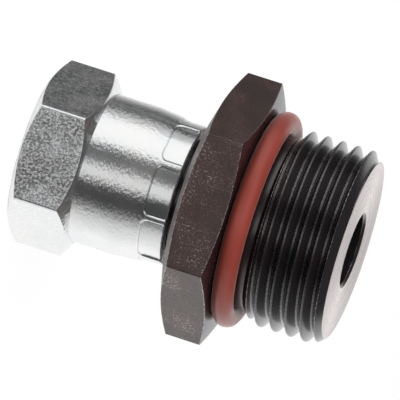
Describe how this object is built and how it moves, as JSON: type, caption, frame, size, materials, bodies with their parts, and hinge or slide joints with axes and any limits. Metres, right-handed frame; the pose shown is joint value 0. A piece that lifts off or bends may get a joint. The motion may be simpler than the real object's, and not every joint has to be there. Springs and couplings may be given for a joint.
{
  "type": "hydraulic swivel adapter",
  "caption": "Straight steel adapter: crimped-on 37 degree flare swivel nut at one end, hexagon body with an O-ring boss threaded stud and a through bore at the other.",
  "frame": {"origin": "centre of the swivel nut's mouth plane, which the fitting stands on", "axes": "+Z along the bore from the nut's mouth to the stud's end face; +X through a corner of the body's hexagon, +Y through the middle of its flats, with the nut's hexagon 2.5 degrees round from it"},
  "size_m": [0.0366, 0.0318, 0.0452],
  "materials": {
    "zinc_plated_steel": "bright zinc plating with tumbled and drawn grain",
    "black_oxide_steel": "brown-black oxide, oiled, worn on the edges and bare on the turned end face",
    "brown_fluorocarbon_rubber": "smooth moulded rubber, semi-matt"
  },
  "bodies": {
    "body": {"adapter_body": "black_oxide_steel", "stud_o_ring": "brown_fluorocarbon_rubber"},
    "nut": {"swivel_nut": "zinc_plated_steel"}
  },
  "joints": [
    {"name": "nut_swivel", "type": "hinge", "parent": "body", "child": "nut", "pos_m": [0, 0, 0.0108], "axis": [0, 0, 1], "continuous": true}
  ]
}
